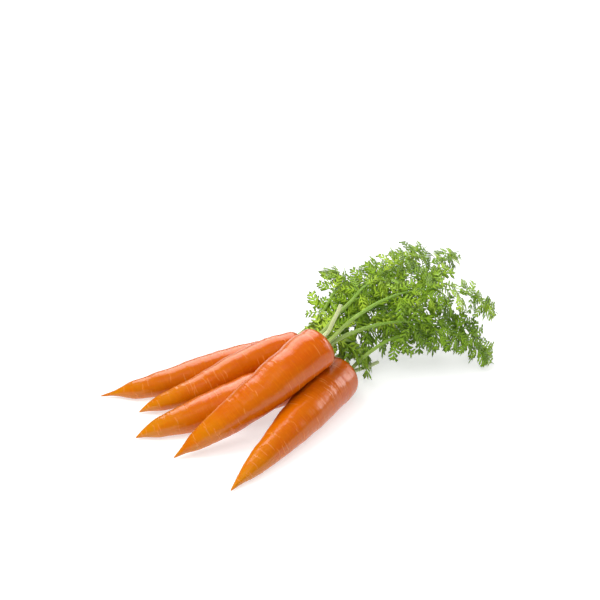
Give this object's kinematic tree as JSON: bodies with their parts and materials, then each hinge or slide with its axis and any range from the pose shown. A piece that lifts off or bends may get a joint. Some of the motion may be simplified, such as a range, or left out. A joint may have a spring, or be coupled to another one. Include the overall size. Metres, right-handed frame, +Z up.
{
  "type": "bunch of carrots",
  "caption": "Fresh orange carrots lying in a fanned bunch, tapering roots with rounded crowns, green leaf stalks and feathery leaves trailing behind",
  "frame": {"origin": "bottom centre of the bunch's box, on the surface it lies on", "axes": "+X from the root tips towards the leaves, the longest extent; +Y across the bunch, +Z up, the shortest extent"},
  "size_m": [0.339, 0.1658, 0.096],
  "materials": {
    "carrot_skin": "waxy carrot skin, satin",
    "stalk_green": "fresh leaf stalk, satin",
    "leaf_green": "fresh leaf, satin",
    "cut_stalk_green": "fresh cut leaf stalk, satin"
  },
  "bodies": {
    "root": {"cut_stalk_1": "cut_stalk_green", "cut_stalk_2": "cut_stalk_green", "cut_stalk_3": "cut_stalk_green", "cut_stalk_4": "cut_stalk_green", "cut_stalk_5": "cut_stalk_green", "leaf_01_blade": "leaf_green", "leaf_01_stalk": "stalk_green", "leaf_02_blade": "leaf_green", "leaf_02_stalk": "stalk_green", "leaf_03_blade": "leaf_green", "leaf_03_stalk": "stalk_green", "leaf_04_blade": "leaf_green", "leaf_04_stalk": "stalk_green", "leaf_05_blade": "leaf_green", "leaf_05_stalk": "stalk_green", "leaf_06_blade": "leaf_green", "leaf_06_stalk": "stalk_green", "leaf_07_blade": "leaf_green", "leaf_07_stalk": "stalk_green", "leaf_08_blade": "leaf_green", "leaf_08_stalk": "stalk_green", "leaf_09_blade": "leaf_green", "leaf_09_stalk": "stalk_green", "leaf_10_blade": "leaf_green", "leaf_10_stalk": "stalk_green", "leaf_11_blade": "leaf_green", "leaf_11_stalk": "stalk_green", "leaf_12_blade": "leaf_green", "leaf_12_stalk": "stalk_green", "leaf_13_blade": "leaf_green", "leaf_13_stalk": "stalk_green", "leaf_14_blade": "leaf_green", "leaf_14_stalk": "stalk_green", "leaf_15_blade": "leaf_green", "leaf_15_stalk": "stalk_green", "leaf_16_blade": "leaf_green", "leaf_16_stalk": "stalk_green", "leaf_17_blade": "leaf_green", "leaf_17_stalk": "stalk_green", "root_back": "carrot_skin", "root_front": "carrot_skin", "root_middle": "carrot_skin", "root_top": "carrot_skin", "root_upper_back": "carrot_skin"}
  },
  "joints": []
}
